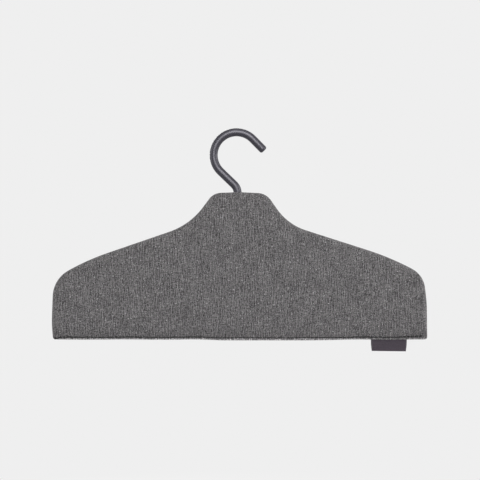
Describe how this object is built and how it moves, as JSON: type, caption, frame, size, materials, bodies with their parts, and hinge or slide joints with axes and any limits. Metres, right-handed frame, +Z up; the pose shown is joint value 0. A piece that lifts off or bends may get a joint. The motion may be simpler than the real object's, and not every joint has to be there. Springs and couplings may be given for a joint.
{
  "type": "steaming hanger",
  "caption": "Padded, fabric-covered garment board in the outline of a clothes hanger, on a swivelling rod hook, for steaming clothes.",
  "frame": {"origin": "inside crown of the hook, where a rail carries it, on the vertical line about which the hook swivels", "axes": "+Z up, +X along the shoulders, -Y out of the front that the picture shows"},
  "size_m": [0.4404, 0.016, 0.2613],
  "materials": {
    "hook_coating": "satin dark grey coating on a steel rod",
    "zinc_steel": "zinc plated",
    "bush_plastic": "natural nylon",
    "core_plastic": "moulded dark grey plastic",
    "pad_felt": "pressed felt pad",
    "heat_lining": "silver coated heat-resistant cloth",
    "cover_fabric": "grey melange plain weave",
    "label_ribbon": "bare dark woven ribbon"
  },
  "bodies": {
    "hook": {"hook": "hook_coating", "hook_washer": "zinc_steel", "hook_nut": "zinc_steel"},
    "hanger": {"neck_bush": "bush_plastic", "core_panel": "core_plastic", "front_pad": "pad_felt", "back_pad": "pad_felt", "front_lining": "heat_lining", "back_lining": "heat_lining", "front_cover": "cover_fabric", "back_cover": "cover_fabric", "label_tab": "label_ribbon"}
  },
  "joints": [
    {"name": "hook_swivel", "type": "hinge", "parent": "hook", "child": "hanger", "pos_m": [0, 0, -0.0755], "axis": [0, 0, 1], "continuous": true}
  ]
}
